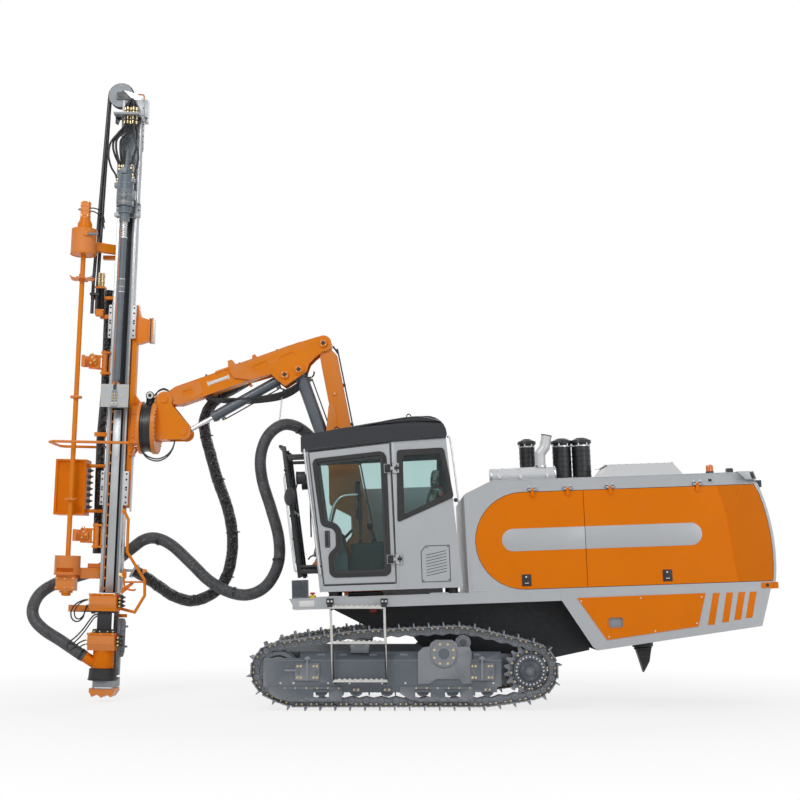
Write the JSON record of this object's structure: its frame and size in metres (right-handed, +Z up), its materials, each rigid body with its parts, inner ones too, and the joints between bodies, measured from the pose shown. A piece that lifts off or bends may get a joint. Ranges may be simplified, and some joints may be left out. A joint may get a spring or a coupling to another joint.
{
  "type": "top hammer drilling rig",
  "caption": "Crawler drilling rig with cab, engine house and hydraulic folding boom that carries an upright feed with drifter, drill rod and rod magazine.",
  "frame": {"origin": "on the ground, below the middle of the machine's box", "axes": "+X from the drilling end to the engine end, +Y from the cab side to the far side, +Z up"},
  "size_m": [8.7737, 2.562, 7.7592],
  "materials": {
    "orange_paint": "satin",
    "silver_paint": "satin",
    "grey_paint": "satin",
    "dark_paint": "satin",
    "track_steel": "worn",
    "bright_steel": "polished",
    "aluminium": "matt",
    "rubber": "matt",
    "plastic": "matt",
    "fabric": "woven",
    "glass": "clear"
  },
  "bodies": {
    "chassis": {"track_left": "track_steel", "track_right": "track_steel", "track_frames": "grey_paint", "track_rollers": "grey_paint", "track_sprockets": "track_steel", "pivot_axle": "grey_paint", "belly_frame": "dark_paint", "deck": "silver_paint", "side_skirts": "silver_paint", "skirt_panels": "orange_paint", "steps": "aluminium", "engine": "grey_paint", "hood_shell": "silver_paint", "exhaust": "silver_paint", "air_filters": "dark_paint", "roof_cowl": "silver_paint", "roof_lamps": "plastic", "dust_collector": "silver_paint", "cab_shell": "silver_paint", "cab_roof": "dark_paint", "cab_glass": "glass", "seat": "fabric", "cab_console": "plastic", "cab_guard": "dark_paint", "suction_hose": "rubber", "boom_hoses": "rubber"},
    "cab_door": {"cab_door": "silver_paint", "door_glass": "glass"},
    "hood_door_left_front": {"hood_door_left_front": "orange_paint"},
    "hood_door_left_rear": {"hood_door_left_rear": "orange_paint"},
    "hood_door_right_front": {"hood_door_right_front": "orange_paint"},
    "hood_door_right_rear": {"hood_door_right_rear": "orange_paint"},
    "boom_bracket": {"boom_bracket": "orange_paint"},
    "lift_barrel": {"lift_barrel": "grey_paint"},
    "lift_rod": {"lift_rod": "bright_steel"},
    "lower_boom": {"lower_boom": "orange_paint"},
    "upper_boom": {"upper_boom": "orange_paint"},
    "fold_barrel": {"fold_barrel": "grey_paint"},
    "fold_rod": {"fold_rod": "bright_steel"},
    "tilt_barrel": {"tilt_barrel": "grey_paint"},
    "tilt_rod": {"tilt_rod": "bright_steel"},
    "boom_head": {"boom_head": "orange_paint"},
    "feed_cradle": {"feed_cradle": "orange_paint"},
    "feed": {"feed_beam": "aluminium", "magazine_ends": "orange_paint", "control_cabinet": "orange_paint", "foot_clamps": "orange_paint", "dust_hood": "orange_paint", "feed_foot": "grey_paint", "feed_hoses": "rubber"},
    "hose_pulley": {"hose_pulley": "grey_paint"},
    "drifter": {"drifter": "grey_paint"},
    "drill_rod": {"drill_rod": "bright_steel"},
    "rod_support": {"rod_support": "aluminium"},
    "rod_magazine": {"rod_magazine": "orange_paint"},
    "rod_grippers": {"rod_grippers": "orange_paint"}
  },
  "joints": [
    {"name": "cab_door_swing", "type": "hinge", "parent": "chassis", "child": "cab_door", "pos_m": [-0.03757, -1.184, 2.1819], "axis": [-0.0349, 0, 0.9994], "range_deg": [0, 95]},
    {"name": "hood_door_left_front_swing", "type": "hinge", "parent": "chassis", "child": "hood_door_left_front", "pos_m": [1.71578, -1.187, 2.46026], "axis": [-0.9994, 0, -0.0349], "range_deg": [0, 85]},
    {"name": "hood_door_left_rear_swing", "type": "hinge", "parent": "chassis", "child": "hood_door_left_rear", "pos_m": [2.89006, -1.187, 2.50127], "axis": [-0.9994, 0, -0.0349], "range_deg": [0, 85]},
    {"name": "hood_door_right_front_swing", "type": "hinge", "parent": "chassis", "child": "hood_door_right_front", "pos_m": [1.71578, 1.249, 2.46026], "axis": [0.9994, 0, 0.0349], "range_deg": [0, 85]},
    {"name": "hood_door_right_rear_swing", "type": "hinge", "parent": "chassis", "child": "hood_door_right_rear", "pos_m": [2.89006, 1.249, 2.50127], "axis": [0.9994, 0, 0.0349], "range_deg": [0, 85]},
    {"name": "boom_swing", "type": "hinge", "parent": "chassis", "child": "boom_bracket", "pos_m": [-0.4508, 0.331, 1.95], "axis": [-0.0349, 0, 0.9994], "range_deg": [-30, 30], "deforming": ["suction_hose", "boom_hoses"]},
    {"name": "boom_lift", "type": "hinge", "parent": "boom_bracket", "child": "lower_boom", "pos_m": [-0.4508, 0.331, 1.95], "axis": [0, -1, 0], "range_deg": [-10, 25]},
    {"name": "lift_barrel_turn", "type": "hinge", "parent": "boom_bracket", "child": "lift_barrel", "pos_m": [-0.9808, 0.331, 1.6], "axis": [0, -1, 0], "range_deg": [-5, 12]},
    {"name": "lift_rod_slide", "type": "slide", "parent": "lift_barrel", "child": "lift_rod", "axis": [0.2425, 0, 0.9701], "range_m": [-0.21, 0.09]},
    {"name": "boom_fold", "type": "hinge", "parent": "lower_boom", "child": "upper_boom", "pos_m": [-0.93768, 0.331, 4.36899], "axis": [0, 1, 0], "range_deg": [-20, 30]},
    {"name": "fold_barrel_turn", "type": "hinge", "parent": "upper_boom", "child": "fold_barrel", "pos_m": [-1.2408, 0.331, 4.039], "axis": [0, -1, 0], "range_deg": [-24, 35]},
    {"name": "fold_rod_slide", "type": "slide", "parent": "fold_barrel", "child": "fold_rod", "axis": [0.3423, 0, -0.9396], "range_m": [-0.15, 0.23]},
    {"name": "feed_tilt", "type": "hinge", "parent": "upper_boom", "child": "boom_head", "pos_m": [-2.90166, 0.331, 3.66307], "axis": [0, -1, 0], "range_deg": [-58, 23]},
    {"name": "tilt_barrel_turn", "type": "hinge", "parent": "upper_boom", "child": "tilt_barrel", "pos_m": [-1.4148, 0.331, 3.974], "axis": [0, -1, 0], "range_deg": [-5, 3]},
    {"name": "tilt_rod_slide", "type": "slide", "parent": "tilt_barrel", "child": "tilt_rod", "axis": [-0.8676, 0, -0.4972], "range_m": [-0.2, 0.46]},
    {"name": "feed_slew", "type": "hinge", "parent": "boom_head", "child": "feed_cradle", "pos_m": [-3.11301, 0.331, 3.32474], "axis": [0.9998, 0, -0.0209], "range_deg": [-30, 30]},
    {"name": "feed_extension", "type": "slide", "parent": "feed_cradle", "child": "feed", "axis": [0.0209, 0, 0.9998], "range_m": [-0.4, 0.6]},
    {"name": "hose_pulley_turn", "type": "hinge", "parent": "feed", "child": "hose_pulley", "pos_m": [-3.54779, 0.271, 7.58978], "axis": [0, 1, 0], "continuous": true},
    {"name": "drifter_feed", "type": "slide", "parent": "feed", "child": "drifter", "axis": [0.0209, 0, 0.9998], "range_m": [-3.65, 0.2]},
    {"name": "rod_rotation", "type": "hinge", "parent": "drifter", "child": "drill_rod", "pos_m": [-3.43456, 0.066, 5.78501], "axis": [0.0209, 0, 0.9998], "continuous": true},
    {"name": "rod_support_slide", "type": "slide", "parent": "feed", "child": "rod_support", "axis": [0.0209, 0, 0.9998], "range_m": [-1.83, 0.1]},
    {"name": "magazine_turn", "type": "hinge", "parent": "feed", "child": "rod_magazine", "pos_m": [-3.96843, 0.066, 3.69573], "axis": [0.0209, 0, 0.9998], "continuous": true},
    {"name": "gripper_swing", "type": "hinge", "parent": "feed", "child": "rod_grippers", "pos_m": [-3.68316, 0.201, 2.98961], "axis": [0.0209, 0, 0.9998], "range_deg": [0, 109.2]}
  ],
  "couplings": [
    {"joint": "lift_barrel_turn", "follows": "boom_lift", "ratio": 0.4274},
    {"joint": "lift_rod_slide", "follows": "boom_lift", "m_per_rad": -0.4551},
    {"joint": "fold_barrel_turn", "follows": "boom_fold", "ratio": 1.1164},
    {"joint": "fold_rod_slide", "follows": "boom_fold", "m_per_rad": 0.3986},
    {"joint": "tilt_barrel_turn", "follows": "feed_tilt", "ratio": 0.0757},
    {"joint": "tilt_rod_slide", "follows": "feed_tilt", "m_per_rad": -0.4394},
    {"joint": "rod_support_slide", "follows": "drifter_feed", "ratio": 0.5}
  ]
}
